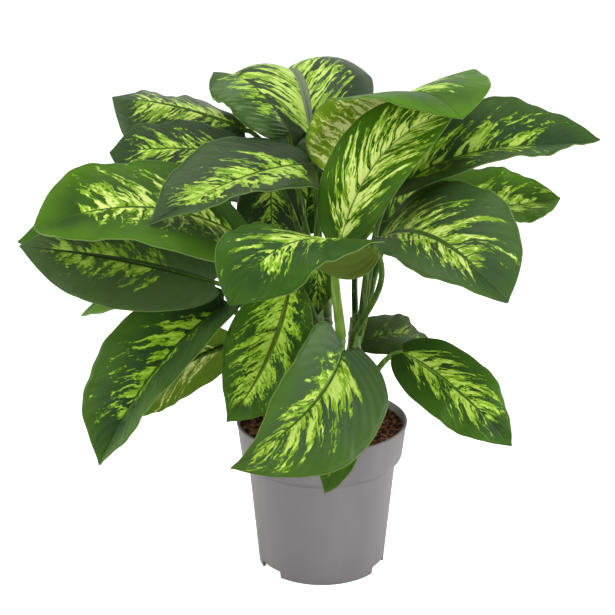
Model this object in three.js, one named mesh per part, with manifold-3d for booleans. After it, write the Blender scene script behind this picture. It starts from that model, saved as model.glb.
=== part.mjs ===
// A dieffenbachia in its nursery pot: a thin moulded pot, potting soil, five short canes and the leaves
// on them. Each leaf is one grown piece, its petiole and its blade. Millimetres, +Z up. All sizes below
// are from the pot's axis and the ground, and the front of the plant looks along -Y. At the end the whole
// plant is set with the middle of its outer box over the origin, because the leaves spread unevenly.
import * as THREE from 'three';
import { mergeVertices } from 'three/addons/utils/BufferGeometryUtils.js';
import Module from 'manifold-3d';

const wasm = await Module();
wasm.setup();

// The pot: a 19 cm nursery pot, drawn in a little under a stepped rim band, on three feet.
const pot = {
  height: 170,
  rimRadius: 95,
  bandFootRadius: 90,
  bandFootHeight: 131.5,
  stepRadius: 82.5,
  stepHeight: 122.5,
  footRadius: 71,
  wall: 1.8,
  floorUnder: 5,
  floorTop: 7.5,
  sides: 48,
  notchAngles: [-144, -24, 96],
  notchWidth: 34,
  notchHeight: 8,
  notchDepth: 15,
  drainRadius: 4,
  drainCircle: 56,
};

// What fills it, and how far loose pieces stay apart.
const gap = 0.3;
const soil = { level: 161, heave: 3.2, rings: 6, sides: 24, clear: 0.6 };

// The canes: foot on the soil, top, and how thick they are. A ring marks each old leaf's place.
const canes = {
  front: { foot: [12, -38], top: [19, -46, 285], radius: 8.5 },
  left: { foot: [-38, -8], top: [-54, -12, 305], radius: 9 },
  right: { foot: [32, 2], top: [38, 8, 290], radius: 9 },
  back: { foot: [6, 40], top: [2, 54, 345], radius: 9 },
  middle: { foot: [-4, 2], top: [-8, 4, 350], radius: 8.5 },
};
const caneShape = { depth: 55, sides: 10, ringEvery: 22, ringHeight: 0.9, taper: 0.78 };

// The blade's outline, as shares of its length and half width, and the thickness of leaf and petiole.
const outline = { widest: 0.43, widestRow: 0.32, sinus: 0.2 };
const blade = { thickness: 1, rows: 8, columns: 4, rowSpacing: 1.2 };
const petiole = { rootRadius: 4.6, tipRadius: 3, sides: 6, steps: 7, underBlade: 16, offAxis: 0.6 };

// What a leaf has unless its own entry says otherwise. Angles are in degrees and lengths in millimetres.
// rise: how far the midrib bows out of the straight line from base to tip, near the base and near the tip.
// bend: how far the midrib bows sideways, and twist: the roll of the blade about it at base and tip.
// fold and curl: the angle of the left and right half at the midrib, and how much it falls to the margin.
// wave: height of the margin's waves, how many there are, and where they start.
// lobe: how far the left and right half reach back past the base. blunt: how full the tip is.
// full and plump: how much wider than usual the left and right half are near the base and near the tip.
// hang: how far the left and right half fall near the base.
// sway: how far the petiole bows aside. thick: the petiole's thickness as a share of the usual.
const usual = {
  width: 112,
  rise: [26, 20],
  bend: 0,
  twist: [0, 0],
  fold: [14, 14],
  curl: [24, 24],
  wave: [3, 2.5, 0],
  sway: [0, 0, 0],
  lobe: [0.055, 0.055],
  blunt: 0,
  full: [0, 0],
  plump: [0, 0],
  hang: [0, 0],
  thick: 1,
};

// The leaves: the cane and height that each grows from, where the blade starts and ends, and which way its
// upper face looks.
const leaves = [
  { name: 'leaf_front', cane: 'front', from: 205, base: [20, -66, 274], tip: [-92, -195, 197],
    face: [0.62, -0.71, 0.28], width: 134, rise: [33, 35], bend: -5, fold: [27, 32], curl: [6, 18],
    lobe: [0.1, -0.03], full: [0.23, 0.35], plump: [0, -0.9] },
  { name: 'leaf_pot_edge', cane: 'front', from: 172, base: [28, -84, 212], tip: [2, -125, 137],
    face: [0.1, -0.8, 0.5], width: 42, fold: [30, 10], plump: [0.4, 0] },
  { name: 'leaf_left_inner', cane: 'front', from: 245, base: [-34, -50, 339], tip: [-100, -100, 207],
    face: [-0.1, -0.9, 0.4], width: 98, bend: -13, fold: [18, 20], full: [-0.5, 0] },
  { name: 'leaf_center', cane: 'right', from: 244, base: [48, -132, 409], tip: [-88, -229, 376],
    face: [0.1, -0.4, 0.9], width: 104, rise: [20, 56], bend: 16, twist: [45, -8], fold: [8, 14],
    curl: [24, 14], lobe: [0.04, 0.04], blunt: 3, full: [0, 0.2], hang: [0, 115], sway: [-22, -18, -40] },
  { name: 'leaf_upper_left', cane: 'middle', from: 326, base: [-13, -10, 461], tip: [-171, -121, 425],
    face: [0.1, -0.5, 0.8], width: 112, fold: [46, 14],
    lobe: [0.03, 0.055], plump: [0, 0.15], hang: [62, 0] },
  { name: 'leaf_left_bright', cane: 'left', from: 292, base: [-83, -40, 389], tip: [-296, -70, 407],
    face: [0, -0.5, 0.86], width: 132, rise: [54, 46], twist: [-8, -14], fold: [36, -4], curl: [12, 12],
    wave: [4, 2.5, 0.15], blunt: 8, full: [1.2, 0.1], plump: [-0.55, 0.05] },
  { name: 'leaf_left_dark', cane: 'left', from: 255, base: [-115, -55, 346], tip: [-315, -50, 383],
    face: [0.1, -0.8, 0.55], width: 112, full: [-0.2, 0], plump: [0.2, 0] },
  { name: 'leaf_left_hidden', cane: 'left', from: 270, base: [-130, 50, 360], tip: [-336, 45, 361],
    face: [0, -0.3, 0.95], width: 90, blunt: 3, plump: [0, 0.4] },
  { name: 'leaf_left_low', cane: 'left', from: 215, base: [-147, 40, 307], tip: [-276, 80, 263],
    face: [-0.2, -0.2, 0.9], width: 84, wave: [0, 1, 0], sway: [0, 8, 0] },
  { name: 'leaf_low_left', cane: 'left', from: 231, base: [-105, -14, 307], tip: [-237, -88, 152],
    face: [-0.5, -0.7, 0.55], width: 128, rise: [34, 30], fold: [42, 28], curl: [14, 14],
    blunt: 1, full: [0.3, 0], plump: [-0.1, 0] },
  { name: 'leaf_low_left_under', cane: 'left', from: 182, base: [-101, 5, 256], tip: [-224, -45, 184],
    face: [-0.53, 0.81, 0.25], width: 98, wave: [1, 2.5, 0] },
  { name: 'leaf_top_left', cane: 'back', from: 300, base: [-87, 112, 475], tip: [-235, 122, 508],
    face: [0, -0.2, 0.98], width: 102, rise: [10, 10], fold: [-45, 0], blunt: 4,
    full: [0, 0.3], plump: [0.4, 0], sway: [-10, 6, 0] },
  { name: 'leaf_upper_left_dark', cane: 'middle', from: 345, base: [-84, 38, 459], tip: [-229, 36, 463],
    face: [0, -0.5, 0.85], width: 94, rise: [14, 10], fold: [2, 8], blunt: 4, full: [-0.2, 0] },
  { name: 'leaf_top', cane: 'back', from: 344, base: [-12, 62, 480], tip: [-80, 245, 470],
    face: [0.05, -0.3, 0.95], width: 180, rise: [88, 60], bend: 14, fold: [39, 39], curl: [96, 96] },
  { name: 'leaf_top_side', cane: 'back', from: 324, base: [-36, 20, 489], tip: [-116, 48, 548],
    face: [0.13, -0.56, 0.82], width: 84, rise: [25, 36], fold: [6, -50], lobe: [0.03, 0.03],
    blunt: 4, sway: [-16, -8, 0] },
  { name: 'leaf_arching', cane: 'back', from: 288, base: [32, 56, 442], tip: [139, -64, 519],
    face: [-0.1, 0.45, 0.9], width: 182, rise: [58, 78], twist: [-1, 0], fold: [27, -2], curl: [14, 14],
    lobe: [0.04, 0.04], blunt: 3, full: [0, 0.27], plump: [-0.1, 0] },
  { name: 'leaf_right_upright', cane: 'front', from: 284, base: [20, -55, 396], tip: [144, 12, 516],
    face: [0, -0.82, 0.46], width: 90, rise: [40, 30], bend: -22, fold: [16, 46],
    sway: [-5, -8, 0], thick: 1.4 },
  { name: 'leaf_right_top', cane: 'right', from: 288, base: [80, 20, 426], tip: [303, 60, 472],
    face: [-0.1, -0.3, 0.95], width: 128, rise: [46, 8], fold: [42, 30], lobe: [0.03, 0.03],
    plump: [0.5, -0.6], sway: [4, 4, 0] },
  { name: 'leaf_right_mid', cane: 'right', from: 256, base: [114, 60, 396], tip: [270, 100, 397],
    face: [0, -0.6, 0.8], width: 96, rise: [2, -14], fold: [25, 40], blunt: 1, plump: [0.1, 0.4],
    sway: [0, 14, 0] },
  { name: 'leaf_right_big', cane: 'right', from: 268, base: [61, -15, 380], tip: [180, -150, 353],
    face: [0, -0.3, 0.95], width: 136, rise: [50, 38], fold: [42, 18], lobe: [0.04, 0.04],
    full: [0.2, -0.1], plump: [1, 0.1], sway: [0, -8, 0] },
  { name: 'leaf_right_low', cane: 'right', from: 185, base: [87, -30, 258], tip: [201, -80, 171],
    face: [0.2, -0.75, 0.6], width: 84, plump: [0.15, 0.1], sway: [2, 0, -9] },
  { name: 'leaf_right_small', cane: 'right', from: 172, base: [43, 30, 248], tip: [131, 70, 226],
    face: [0, -0.35, 0.93], width: 66, fold: [20, 10] },
  { name: 'leaf_hanging', cane: 'middle', from: 292, base: [-4, -22, 365], tip: [-8, -25, 297],
    face: [0.1, -0.98, 0.15], width: 34, rise: [6, 5], fold: [12, 12], curl: [10, 10], thick: 0.6 },
  { name: 'leaf_inner', cane: 'back', from: 250, base: [-56, 52, 432], tip: [-54, 50, 350],
    face: [-0.1, -0.9, 0.3], width: 76, rise: [8, 6], sway: [-6, 6, 0] },
  { name: 'leaf_rear_top', cane: 'back', from: 270, base: [12, 110, 420], tip: [44, 260, 440],
    face: [0, 0, 1], width: 110 },
  { name: 'leaf_rear_left', cane: 'left', from: 297, base: [-104, 90, 396], tip: [-244, 180, 372],
    face: [0, 0.2, 0.95], width: 110, sway: [-34, 10, 0] },
  { name: 'leaf_rear_right', cane: 'right', from: 222, base: [62, 92, 366], tip: [190, 200, 373],
    face: [0, -0.5, 0.85], width: 100 },
  { name: 'leaf_rear_low', cane: 'back', from: 198, base: [-20, 110, 280], tip: [-60, 210, 190],
    face: [0, 0.5, 0.8], width: 100, sway: [4, 0, 0] },
  { name: 'leaf_rear_mid', cane: 'back', from: 238, base: [-20, 104, 362], tip: [-5, 200, 428],
    face: [0, -0.8, 0.6], width: 84, sway: [4, 0, 0] },
  { name: 'leaf_rear_low_left', cane: 'back', from: 220, base: [-90, 100, 320], tip: [-200, 170, 270],
    face: [-0.2, 0.4, 0.9], width: 92, sway: [-6, -4, 0] },
];

const vec = (p) => new THREE.Vector3(...p);
const turn = THREE.MathUtils.degToRad;

// A closed geometry as a solid for joining and cutting, and back again.
function solidOf(geometry) {
  const bare = geometry.clone();
  bare.deleteAttribute('normal');
  bare.deleteAttribute('uv');
  const merged = mergeVertices(bare, 1e-4);
  const mesh = new wasm.Mesh({
    numProp: 3,
    vertProperties: Float32Array.from(merged.attributes.position.array),
    triVerts: Uint32Array.from(merged.index.array),
  });
  return new wasm.Manifold(mesh);
}

function geometryOf(solid) {
  const { vertProperties, triVerts, numProp } = solid.getMesh();
  const points = new Float32Array((vertProperties.length / numProp) * 3);
  for (let i = 0; i < points.length; i += 1) {
    points[i] = vertProperties[Math.floor(i / 3) * numProp + (i % 3)];
  }
  const geometry = new THREE.BufferGeometry();
  geometry.setAttribute('position', new THREE.BufferAttribute(points, 3));
  geometry.setIndex(new THREE.BufferAttribute(Uint32Array.from(triVerts), 1));
  return geometry;
}

// A round bar along a curve, closed at both ends, whose radius follows a rule from 0 to 1.
function bar(curve, radiusAt, sides, steps) {
  const geometry = new THREE.CylinderGeometry(1, 1, 1, sides, steps);
  const frames = curve.computeFrenetFrames(steps, false);
  const place = geometry.attributes.position;
  const across = new THREE.Vector3();
  for (let i = 0; i < place.count; i += 1) {
    const step = Math.round((place.getY(i) + 0.5) * steps);
    const share = step / steps;
    const centre = curve.getPointAt(share);
    across.copy(frames.normals[step]).multiplyScalar(-place.getX(i));
    across.addScaledVector(frames.binormals[step], place.getZ(i));
    centre.addScaledVector(across, radiusAt(share));
    place.setXYZ(i, centre.x, centre.y, centre.z);
  }
  return geometry;
}

// The middle line of a cane, and its radius with a low ring at each old leaf's place.
function caneCurve({ foot, top }) {
  const ground = soil.level - caneShape.depth;
  const start = new THREE.Vector3(foot[0], foot[1], ground);
  const above = new THREE.Vector3(foot[0], foot[1], soil.level + 20);
  const end = vec(top);
  const near = above.clone().lerp(end, 0.55).add(new THREE.Vector3((foot[0] - top[0]) * 0.12, 0, 0));
  return new THREE.CatmullRomCurve3([start, above, near, end]);
}

function caneAt(cane, height) {
  const curve = caneCurve(canes[cane]);
  let low = 0;
  let high = 1;
  for (let i = 0; i < 30; i += 1) {
    const middle = (low + high) / 2;
    if (curve.getPointAt(middle).z < height) {
      low = middle;
    } else {
      high = middle;
    }
  }
  return curve.getPointAt(low);
}

function caneSolid(cane, grow = 0) {
  const spec = canes[cane];
  const curve = caneCurve(spec);
  const length = curve.getLength();
  const steps = Math.round(length / (caneShape.ringEvery / 2));
  const radiusAt = (share) => {
    const ring = Math.round(share * steps) % 2 ? caneShape.ringHeight : 0;
    return spec.radius * (1 - (1 - caneShape.taper) * share) + ring + grow;
  };
  return solidOf(bar(curve, radiusAt, caneShape.sides, steps));
}

// The outline: where a row's margin lies, as shares of the length and of the half width.
function margin(row, half, { lobe, blunt }) {
  const start = Math.asin(outline.sinus);
  if (row < outline.widestRow) {
    const angle = start + (Math.PI / 2 - start) * (row / outline.widestRow) ** 0.68;
    return {
      along: outline.widest - (outline.widest + lobe[half]) * Math.cos(angle) ** 0.92,
      out: Math.sin(angle) ** 0.95,
    };
  }
  const rest = ((row - outline.widestRow) / (1 - outline.widestRow)) ** 0.88;
  return {
    along: outline.widest + (1 - outline.widest) * rest,
    out: Math.max(0.012, (1 - rest ** (2 + blunt)) ** 0.95 * (1 - 0.25 * rest ** 5)),
  };
}

// The blade's surface: row runs from base to tip along the midrib, across from -1 on the left margin to 1.
function surfaceOf(leaf) {
  const base = vec(leaf.base);
  const ahead = vec(leaf.tip).sub(base);
  const length = ahead.length();
  ahead.normalize();
  const up = vec(leaf.face);
  up.addScaledVector(ahead, -up.dot(ahead)).normalize();
  const side = ahead.clone().cross(up);
  const midrib = (t) => {
    const lift = 3 * t * (1 - t) ** 2 * leaf.rise[0] + 3 * t ** 2 * (1 - t) * leaf.rise[1];
    return base.clone().addScaledVector(ahead, length * t).addScaledVector(up, lift)
      .addScaledVector(side, leaf.bend * 4 * t * (1 - t));
  };
  const frame = (t) => {
    const small = 0.002;
    const tangent = midrib(t + small).sub(midrib(t - small)).normalize();
    const normal = up.clone().addScaledVector(tangent, -up.dot(tangent)).normalize();
    const share = THREE.MathUtils.clamp(t, 0, 1);
    normal.applyAxisAngle(tangent, turn(leaf.twist[0] * (1 - share) + leaf.twist[1] * share));
    return { tangent, normal, right: tangent.clone().cross(normal) };
  };
  const point = (row, across) => {
    const half = across < 0 ? 0 : 1;
    const edge = margin(row, half, leaf);
    const reach = Math.abs(across);
    const swelling = 1 + leaf.full[half] * (1 - row) ** 3 + leaf.plump[half] * row ** 3;
    const t = row + (edge.along - row) * reach ** 1.2;
    const out = (leaf.width / 2) * edge.out * reach * swelling;
    const fall = leaf.hang[half] * (1 - row) ** 6;
    const angle = turn(leaf.fold[half] - fall - (leaf.curl[half] * reach) / 2);
    const [high, count, first] = leaf.wave;
    const swell = Math.sin(2 * Math.PI * (count * row + first) + half * 2.2);
    const wave = high * reach ** 2 * swell * Math.sqrt(Math.sin(Math.PI * Math.min(row, 1)));
    const at = frame(t);
    const p = midrib(t).addScaledVector(at.right, Math.sign(across) * out * Math.cos(angle));
    return p.addScaledVector(at.normal, out * Math.sin(angle) + wave);
  };
  return { point, midrib, frame };
}

// The blade as a closed sheet, with both faces split into the same triangles.
function bladeGeometry(leaf, surface) {
  const { rows, columns, rowSpacing, thickness } = blade;
  const points = [];
  const nearby = 0.01;
  for (let i = 0; i <= rows; i += 1) {
    for (let j = 0; j <= columns; j += 1) {
      const row = (i / rows) ** rowSpacing;
      const across = (2 * j) / columns - 1;
      const p = surface.point(row, across);
      const inner = Math.min(Math.max(row, 0.02), 0.97);
      const lengthwise = surface.point(inner + nearby, across).sub(surface.point(inner - nearby, across));
      const crosswise = surface.point(inner, Math.min(across + 0.05, 1))
        .sub(surface.point(inner, Math.max(across - 0.05, -1)));
      const normal = crosswise.cross(lengthwise).normalize();
      const above = p.clone().addScaledVector(normal, thickness / 2);
      points.push([above, p.addScaledVector(normal, -thickness / 2)]);
    }
  }
  const wide = columns + 1;
  const count = points.length;
  const position = [...points.map((pair) => pair[0]), ...points.map((pair) => pair[1])];
  const index = [];
  const skin = (a, b, c, d) => {
    index.push(a, b, c, a, c, d, a + count, c + count, b + count, a + count, d + count, c + count);
  };
  for (let i = 0; i < rows; i += 1) {
    for (let j = 0; j < columns; j += 1) {
      const a = i * wide + j;
      skin(a, a + 1, a + wide + 1, a + wide);
    }
  }
  const across = Array.from({ length: columns }, (_, j) => j);
  const along = Array.from({ length: rows }, (_, i) => i * wide);
  const rim = [
    ...across,
    ...along.map((first) => first + columns),
    ...across.map((j) => rows * wide + columns - j),
    ...along.map((first) => rows * wide - first),
  ];
  rim.forEach((a, k) => {
    const b = rim[(k + 1) % rim.length];
    index.push(a, a + count, b + count, a, b + count, b);
  });
  const geometry = new THREE.BufferGeometry();
  geometry.setAttribute('position', new THREE.BufferAttribute(
    Float32Array.from(position.flatMap((p) => [p.x, p.y, p.z])), 3));
  geometry.setIndex(index);
  return geometry;
}

// The petiole's middle line: out of the cane, up and over, and a little way on under the blade.
function petioleCurve(leaf, surface) {
  const start = caneAt(leaf.cane, leaf.from);
  const base = surface.midrib(0);
  const outward = new THREE.Vector3(base.x - start.x, base.y - start.y, 0).normalize();
  start.addScaledVector(outward, canes[leaf.cane].radius * petiole.offAxis);
  const length = start.distanceTo(base);
  const { tangent, normal } = surface.frame(0);
  const rise = new THREE.Vector3(base.x - start.x, base.y - start.y, 0).multiplyScalar(0.3);
  rise.z = length * 0.45;
  const sway = vec(leaf.sway);
  const bezier = new THREE.CubicBezierCurve3(start, start.clone().add(rise).add(sway),
    base.clone().addScaledVector(tangent, -length * 0.3).add(sway), base);
  const points = bezier.getPoints(5);
  const on = petiole.underBlade / base.distanceTo(surface.midrib(1));
  points.push(surface.midrib(on).addScaledVector(normal, -petiole.tipRadius * 0.6));
  return new THREE.CatmullRomCurve3(points);
}

function leafSolid(leaf) {
  const surface = surfaceOf(leaf);
  const { lerp } = THREE.MathUtils;
  const radiusAt = (share) => lerp(petiole.rootRadius, petiole.tipRadius, share) * leaf.thick;
  const stalk = bar(petioleCurve(leaf, surface), radiusAt, petiole.sides, petiole.steps);
  return solidOf(bladeGeometry(leaf, surface)).add(solidOf(stalk));
}

// The pot as a turned shell, with its notches and drain holes cut out.
function potSolid() {
  const { wall } = pot;
  const outside = [
    [pot.footRadius, 0],
    [pot.stepRadius, pot.stepHeight],
    [pot.bandFootRadius, pot.bandFootHeight],
    [pot.rimRadius - 0.6, pot.height - 3],
    [pot.rimRadius, pot.height - 2.2],
    [pot.rimRadius, pot.height - 0.6],
    [pot.rimRadius - 0.8, pot.height],
  ];
  const slope = (pot.stepRadius - pot.footRadius) / pot.stepHeight;
  const inside = [
    [pot.rimRadius - wall - 0.6, pot.height],
    [pot.bandFootRadius - wall, pot.bandFootHeight + 1.5],
    [pot.stepRadius - wall, pot.stepHeight + 1.5],
    [pot.footRadius - wall + slope * pot.floorTop, pot.floorTop],
    [0, pot.floorTop],
    [0, pot.floorUnder],
    [pot.footRadius - wall - 1, pot.floorUnder],
    [pot.footRadius - wall - 1.4, 0],
  ];
  const profile = [...outside, ...inside, outside[0]].map(([x, y]) => new THREE.Vector2(x, y));
  const shell = new THREE.LatheGeometry(profile, pot.sides).rotateX(Math.PI / 2);
  let solid = solidOf(shell);
  for (const angle of pot.notchAngles) {
    const notch = new THREE.BoxGeometry(pot.notchDepth * 2, pot.notchWidth, pot.notchHeight * 2);
    notch.translate(pot.footRadius + pot.notchDepth / 3, 0, 0);
    const drain = new THREE.CylinderGeometry(pot.drainRadius, pot.drainRadius, pot.floorTop * 4, 16);
    drain.rotateX(Math.PI / 2).translate(pot.drainCircle, 0, 0);
    for (const cutter of [notch, drain]) {
      cutter.rotateZ(turn(angle));
      solid = solid.subtract(solidOf(cutter));
    }
  }
  return solid;
}

// The soil: it fills the pot to a little under the rim, and its top is uneven.
function soilSolid() {
  const { level, heave, rings, sides } = soil;
  const inner = pot.wall + soil.clear;
  const slope = (pot.stepRadius - pot.footRadius) / pot.stepHeight;
  const bandSlope = (pot.rimRadius - pot.bandFootRadius) / (pot.height - pot.bandFootHeight);
  const wallTop = pot.bandFootRadius - inner + bandSlope * (level - pot.bandFootHeight) - soil.clear * 2;
  const profile = [
    [0, pot.floorTop + gap],
    [pot.footRadius - inner + slope * pot.floorTop, pot.floorTop + gap],
    [pot.stepRadius - inner, pot.stepHeight + pot.wall],
    [pot.bandFootRadius - inner - soil.clear, pot.bandFootHeight + pot.wall * 1.4],
  ];
  for (let ring = rings; ring > 0; ring -= 1) {
    profile.push([(wallTop * ring) / rings, level]);
  }
  profile.push([0, level]);
  const body = new THREE.LatheGeometry(profile.map(([x, y]) => new THREE.Vector2(x, y)), sides);
  body.rotateX(Math.PI / 2);
  const place = body.attributes.position;
  for (let i = 0; i < place.count; i += 1) {
    const [x, y, z] = [place.getX(i), place.getY(i), place.getZ(i)];
    if (z > level - 0.01) {
      const bumps = Math.sin(x * 0.21 + 1) * Math.cos(y * 0.17) + 0.6 * Math.sin(x * 0.43 - y * 0.37);
      place.setZ(i, level + heave * 0.5 * bumps);
    }
  }
  return solidOf(body);
}

// A finished piece: its mesh is measured from its own place, as the real piece would be picked up.
function piece(name, solid, colour, roughness, at = new THREE.Vector3()) {
  const geometry = geometryOf(solid).translate(-at.x, -at.y, -at.z);
  geometry.computeVertexNormals();
  const material = new THREE.MeshStandardMaterial({ color: colour, roughness, metalness: 0 });
  const mesh = new THREE.Mesh(geometry, material);
  mesh.name = name;
  mesh.position.copy(at);
  return mesh;
}

const plant = new THREE.Group();
plant.name = 'potted_dieffenbachia';
plant.add(piece('pot', potSolid(), 0x8a8184, 0.55));

let ground = soilSolid();
for (const cane of Object.keys(canes)) {
  ground = ground.subtract(caneSolid(cane, gap));
  plant.add(piece(`cane_${cane}`, caneSolid(cane), 0x5f7a35, 0.6, caneAt(cane, soil.level)));
}
plant.add(piece('soil', ground, 0x3c2417, 1));

const foliage = new THREE.Group();
for (const entry of leaves) {
  const leaf = { ...usual, ...entry };
  const solid = leafSolid(leaf).subtract(caneSolid(leaf.cane, gap));
  foliage.add(piece(leaf.name, solid, 0x2f5a26, 0.4, caneAt(leaf.cane, leaf.from)));
}
plant.add(foliage);

const middle = new THREE.Box3().setFromObject(plant).getCenter(new THREE.Vector3());
plant.position.set(-middle.x, -middle.y, 0);

export default plant;
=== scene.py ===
# A dieffenbachia in its grey nursery pot. Metres, +Z up, and the front of the plant looks along -Y. Places
# are counted from the pot's axis on the ground, unless the pot's axis is added to them.
import math
import random

import bpy
from mathutils import Matrix, Vector, noise


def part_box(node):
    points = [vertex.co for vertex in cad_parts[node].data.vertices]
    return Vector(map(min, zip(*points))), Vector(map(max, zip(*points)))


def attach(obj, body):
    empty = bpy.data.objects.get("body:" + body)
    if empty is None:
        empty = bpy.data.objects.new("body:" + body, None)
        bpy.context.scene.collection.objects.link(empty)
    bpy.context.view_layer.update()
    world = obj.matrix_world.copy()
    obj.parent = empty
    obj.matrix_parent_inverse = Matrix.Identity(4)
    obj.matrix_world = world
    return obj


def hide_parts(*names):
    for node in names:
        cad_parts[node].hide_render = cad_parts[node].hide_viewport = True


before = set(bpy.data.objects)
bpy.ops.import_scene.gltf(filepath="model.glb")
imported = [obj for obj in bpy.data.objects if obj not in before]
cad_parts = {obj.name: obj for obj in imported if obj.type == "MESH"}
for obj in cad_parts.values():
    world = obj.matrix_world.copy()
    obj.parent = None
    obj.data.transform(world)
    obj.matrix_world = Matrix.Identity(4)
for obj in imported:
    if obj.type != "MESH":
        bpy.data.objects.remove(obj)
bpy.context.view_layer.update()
pot_low, pot_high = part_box("pot")
pot_axis = Vector(((pot_low.x + pot_high.x) / 2, (pot_low.y + pot_high.y) / 2, 0))


# The camera stands a metre and a half before the plant and looks a little down on it, as the photograph's
# does. The lens gives the photograph's field of view.
camera_place = Vector((-0.016, -1.540, 0.803))
camera_pitch = math.radians(18.1)
focal_length = 87.2
camera_data = bpy.data.cameras.new("camera")
camera_data.lens = focal_length
camera_data.sensor_width = 36
camera = bpy.data.objects.new("camera", camera_data)
camera.location = pot_axis + camera_place
camera.rotation_euler = (math.pi / 2 - camera_pitch, 0, 0)
bpy.context.scene.collection.objects.link(camera)
bpy.context.scene.camera = camera


# The studio: a pale floor and surround, which glow more to the camera than onto the plant and so look white.
# A large softbox hangs overhead, two stand beside the camera, a faint one stands behind the plant, and a
# tall strip at each side lights its edges.
def soft_light(name, place, size, power, aim):
    data = bpy.data.lights.new(name, "AREA")
    data.shape = "RECTANGLE"
    data.size, data.size_y = size
    data.energy = power
    light = bpy.data.objects.new(name, data)
    light.location = pot_axis + Vector(place)
    light.rotation_euler = (Vector(aim) - Vector(place)).to_track_quat("-Z", "Y").to_euler()
    bpy.context.scene.collection.objects.link(light)


plant_middle = (0, 0, 0.32)
soft_light("overhead_softbox", (-0.1, 0.0, 2.3), (2.4, 2.0), 35, plant_middle)
soft_light("left_softbox", (-2.0, -1.7, 1.2), (1.3, 1.5), 40, plant_middle)
soft_light("right_softbox", (2.0, -1.5, 1.0), (1.3, 1.5), 36, plant_middle)
soft_light("back_softbox", (0.4, 2.2, 1.3), (2.0, 1.2), 6, plant_middle)
soft_light("left_strip", (-2.2, 0.7, 0.7), (0.8, 1.4), 24, plant_middle)
soft_light("right_strip", (2.2, 0.7, 0.7), (0.8, 1.4), 30, plant_middle)


def glow_to_camera(tree, socket, as_light, as_seen):
    rays = tree.nodes.new("ShaderNodeLightPath")
    glow = tree.nodes.new("ShaderNodeMapRange")
    glow.inputs["To Min"].default_value = as_light
    glow.inputs["To Max"].default_value = as_seen
    tree.links.new(rays.outputs["Is Camera Ray"], glow.inputs["Value"])
    tree.links.new(glow.outputs[0], socket)


surround = bpy.data.worlds.new("surround")
surround.use_nodes = True
sky = surround.node_tree.nodes["Background"]
sky.inputs["Color"].default_value = (0.97, 0.98, 1.0, 1)
glow_to_camera(surround.node_tree, sky.inputs["Strength"], 0.30, 1.05)
bpy.context.scene.world = surround
bpy.context.scene.view_settings.view_transform = "Standard"

bpy.ops.object.select_all(action="DESELECT")
bpy.ops.mesh.primitive_plane_add(size=60, location=pot_axis)
floor = bpy.context.object
floor.name = "floor"
floor_paint = bpy.data.materials.new("floor_paint")
floor_paint.use_nodes = True
paint = floor_paint.node_tree.nodes["Principled BSDF"]
paint.inputs["Base Color"].default_value = (0.82, 0.82, 0.82, 1)
paint.inputs["Roughness"].default_value = 0.9
paint.inputs["Emission Color"].default_value = (1, 1, 1, 1)
glow_to_camera(floor_paint.node_tree, paint.inputs["Emission Strength"], 0.06, 0.80)
floor.data.materials.append(floor_paint)


# The pot is thin grey polypropylene, moulded in one piece: a tapered wall under a stepped rim band, a
# floor with drain holes, and a foot ring that three notches divide. It is turned from its profile here,
# the notches and holes are cut, and its edges get the mould's small radius.
def place_node(tree, kind, inputs=None, **settings):
    node = tree.nodes.new("ShaderNode" + kind)
    for name, value in settings.items():
        setattr(node, name, value)
    for slot, value in (inputs or {}).items():
        if isinstance(value, bpy.types.NodeSocket):
            tree.links.new(value, node.inputs[slot])
        else:
            node.inputs[slot].default_value = value
    return node


def reckon(tree, operation, *values):
    return place_node(tree, "Math", dict(enumerate(values)), operation=operation).outputs[0]


def ramp_up(tree, value, low, high):
    inputs = {"Value": value, "From Min": low, "From Max": high}
    return place_node(tree, "MapRange", inputs, interpolation_type="SMOOTHSTEP").outputs[0]


# A colour mixing node has its share, first and second colour in these input slots, and its result in the
# third output.
share_slot, first_slot, second_slot, blended_slot = 0, 6, 7, 2


def blend_colours(tree, share, first, second):
    node = place_node(tree, "Mix", data_type="RGBA", blend_type="MIX")
    for slot, value in ((share_slot, share), (first_slot, first), (second_slot, second)):
        if isinstance(value, bpy.types.NodeSocket):
            tree.links.new(value, node.inputs[slot])
        elif slot == share_slot:
            node.inputs[slot].default_value = value
        else:
            node.inputs[slot].default_value = (*value, 1)
    return node.outputs[blended_slot]


def new_finish(name, **sockets):
    finish = bpy.data.materials.new(name)
    finish.use_nodes = True
    shader = finish.node_tree.nodes["Principled BSDF"]
    for slot, value in sockets.items():
        shader.inputs[slot.replace("_", " ")].default_value = value
    return finish, finish.node_tree, shader


def surface_noise(tree, scale, detail=2.0, stretch=(1, 1, 1)):
    place = place_node(tree, "TexCoord").outputs["Object"]
    mapping = place_node(tree, "Mapping", {"Vector": place, "Scale": stretch})
    inputs = {"Vector": mapping.outputs[0], "Scale": scale, "Detail": detail}
    return place_node(tree, "TexNoise", inputs).outputs[0]


def relief(tree, shader, height, strength, distance):
    inputs = {"Height": height, "Strength": strength, "Distance": distance}
    tree.links.new(place_node(tree, "Bump", inputs).outputs[0], shader.inputs["Normal"])


weld_distance = 0.00002


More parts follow.
